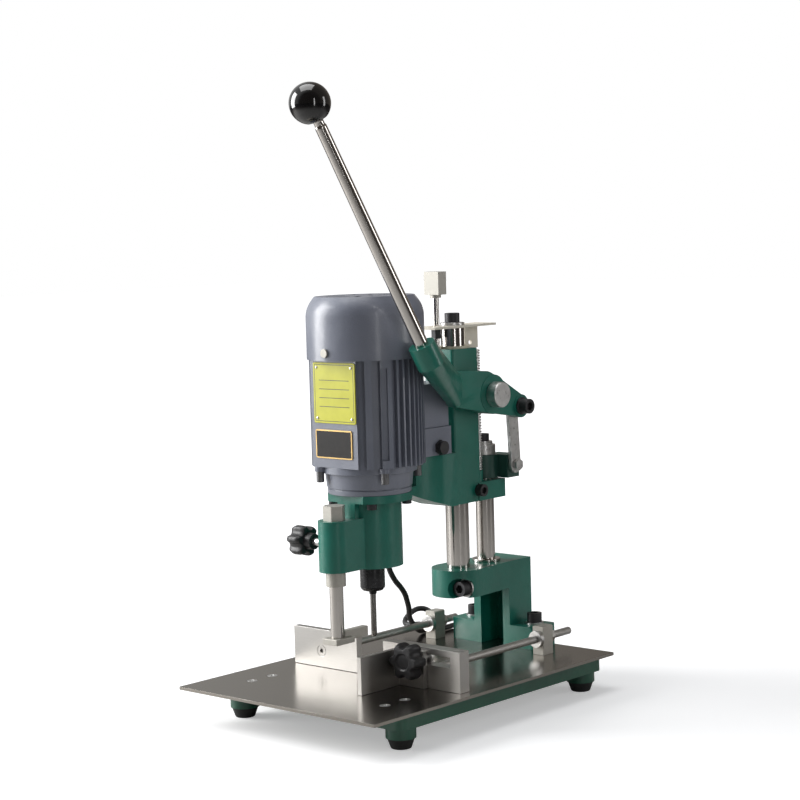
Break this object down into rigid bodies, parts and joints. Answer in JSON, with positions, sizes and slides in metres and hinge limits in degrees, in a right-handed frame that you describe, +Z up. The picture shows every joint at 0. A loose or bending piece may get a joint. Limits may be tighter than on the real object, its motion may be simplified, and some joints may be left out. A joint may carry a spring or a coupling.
{
  "type": "bench paper drill",
  "caption": "Bench drill for punching holes in paper: a hand lever pulls a motor head down two columns over a table with sliding fences, a side stop and a spring-loaded paper press.",
  "frame": {"origin": "on the floor under the middle of the table plate, the bottom centre of the machine without its mains cord", "axes": "+X to the operator's right, +Y away from the operator towards the columns, +Z up"},
  "size_m": [0.27, 0.4683, 0.6375],
  "materials": {
    "green_paint": "semi-gloss",
    "dark_green_paint": "semi-gloss",
    "motor_paint": "semi-gloss",
    "cream_paint": "satin",
    "stainless": "brushed",
    "chrome": "polished",
    "bright_steel": "machined",
    "black_steel": "black oxide",
    "copper": "wound wire",
    "bush_polymer": "matte",
    "black_gloss": "gloss",
    "black_matte": "matte",
    "foot_rubber": "matte",
    "cord_rubber": "satin",
    "label": "printed"
  },
  "bodies": {
    "base": {"base_casting": "green_paint", "table_plate": "stainless", "table_screws": "bright_steel", "rubber_feet": "foot_rubber", "column_bracket": "green_paint", "base_cap_screws": "black_steel", "base_washers": "bright_steel", "front_column": "chrome", "rear_column": "chrome", "top_plate": "cream_paint", "column_cap_screws": "black_steel", "column_cap_washers": "bright_steel", "link_bracket": "dark_green_paint", "link_pin": "bright_steel", "rod_blocks": "bright_steel", "rod_lock_nuts": "bright_steel", "return_spring": "bright_steel", "cord_drop": "cord_rubber", "cord_run": "cord_rubber", "cord_coil": "cord_rubber", "plug": "black_matte"},
    "head": {"head_casting": "green_paint", "guide_bushes": "bush_polymer", "head_cap_screws": "black_steel", "motor_frame": "motor_paint", "stator": "copper", "fan_cover": "motor_paint", "cover_screws": "bright_steel", "upper_shield": "motor_paint", "lower_shield": "motor_paint", "tie_bolts": "black_steel", "label_plates": "label", "terminal_box": "motor_paint", "terminal_lid": "motor_paint", "cable_glands": "black_matte", "shaft_bearings": "bright_steel", "press_guide": "bright_steel", "press_spring": "bright_steel", "lever_pivot_bolt": "chrome"},
    "depth_stop": {"depth_stop_rod": "chrome", "depth_stop_block": "bright_steel", "depth_stop_nut": "black_steel"},
    "spindle": {"rotor": "bright_steel", "cooling_fan": "black_matte", "drill_chuck": "black_steel", "drill_bit": "bright_steel"},
    "press": {"press_rod": "chrome", "press_foot": "bright_steel"},
    "press_lock": {"press_lock_knob": "black_matte"},
    "lever": {"lever_casting": "green_paint", "lever_rod": "chrome", "ball_knob": "black_gloss", "lever_rear_pin": "black_steel"},
    "link": {"link_bar": "bright_steel"},
    "left_fence": {"left_fence": "stainless", "left_rod": "chrome"},
    "right_fence": {"right_fence": "stainless", "right_rod": "chrome"},
    "side_stop": {"side_stop": "stainless"},
    "stop_knob": {"side_stop_knob": "black_matte"}
  },
  "joints": [
    {"name": "head_slide", "type": "slide", "parent": "base", "child": "head", "axis": [0, 0, 1], "range_m": [-0.03, 0], "stiffness_N_per_m": 2500, "springref_m": 0.09, "deforming": ["return_spring", "cord_drop"]},
    {"name": "lever_hinge", "type": "hinge", "parent": "head", "child": "lever", "pos_m": [0.04, 0.1074, 0.3207], "axis": [1, 0, 0], "range_deg": [0, 36]},
    {"name": "link_hinge", "type": "hinge", "parent": "base", "child": "link", "pos_m": [0.031, 0.158, 0.24], "axis": [1, 0, 0], "range_deg": [-1, 0]},
    {"name": "depth_stop_turn", "type": "hinge", "parent": "head", "child": "depth_stop", "pos_m": [-0.004, 0.074, 0.41], "axis": [0, 0, 1], "continuous": true},
    {"name": "spindle_spin", "type": "hinge", "parent": "head", "child": "spindle", "pos_m": [0, -0.041, 0.25], "axis": [0, 0, 1], "continuous": true},
    {"name": "press_slide", "type": "slide", "parent": "head", "child": "press", "axis": [0, 0, 1], "range_m": [0, 0.022], "stiffness_N_per_m": 600, "springref_m": -0.02, "deforming": ["press_spring"]},
    {"name": "press_lock_turn", "type": "hinge", "parent": "head", "child": "press_lock", "pos_m": [-0.045, -0.095, 0.185], "axis": [1, 0, 0], "continuous": true},
    {"name": "left_fence_slide", "type": "slide", "parent": "base", "child": "left_fence", "axis": [0, 1, 0], "range_m": [-0.026, 0.06]},
    {"name": "right_fence_slide", "type": "slide", "parent": "base", "child": "right_fence", "axis": [0, 1, 0], "range_m": [-0.03, 0.06]},
    {"name": "side_stop_slide", "type": "slide", "parent": "right_fence", "child": "side_stop", "axis": [1, 0, 0], "range_m": [-0.01, 0.034]},
    {"name": "stop_knob_turn", "type": "hinge", "parent": "side_stop", "child": "stop_knob", "pos_m": [0.069, -0.065, 0.0695], "axis": [0, 1, 0], "continuous": true}
  ],
  "couplings": [
    {"joint": "lever_hinge", "follows": "head_slide", "rad_per_m": -20.6},
    {"joint": "link_hinge", "follows": "head_slide", "rad_per_m": 0.41}
  ]
}
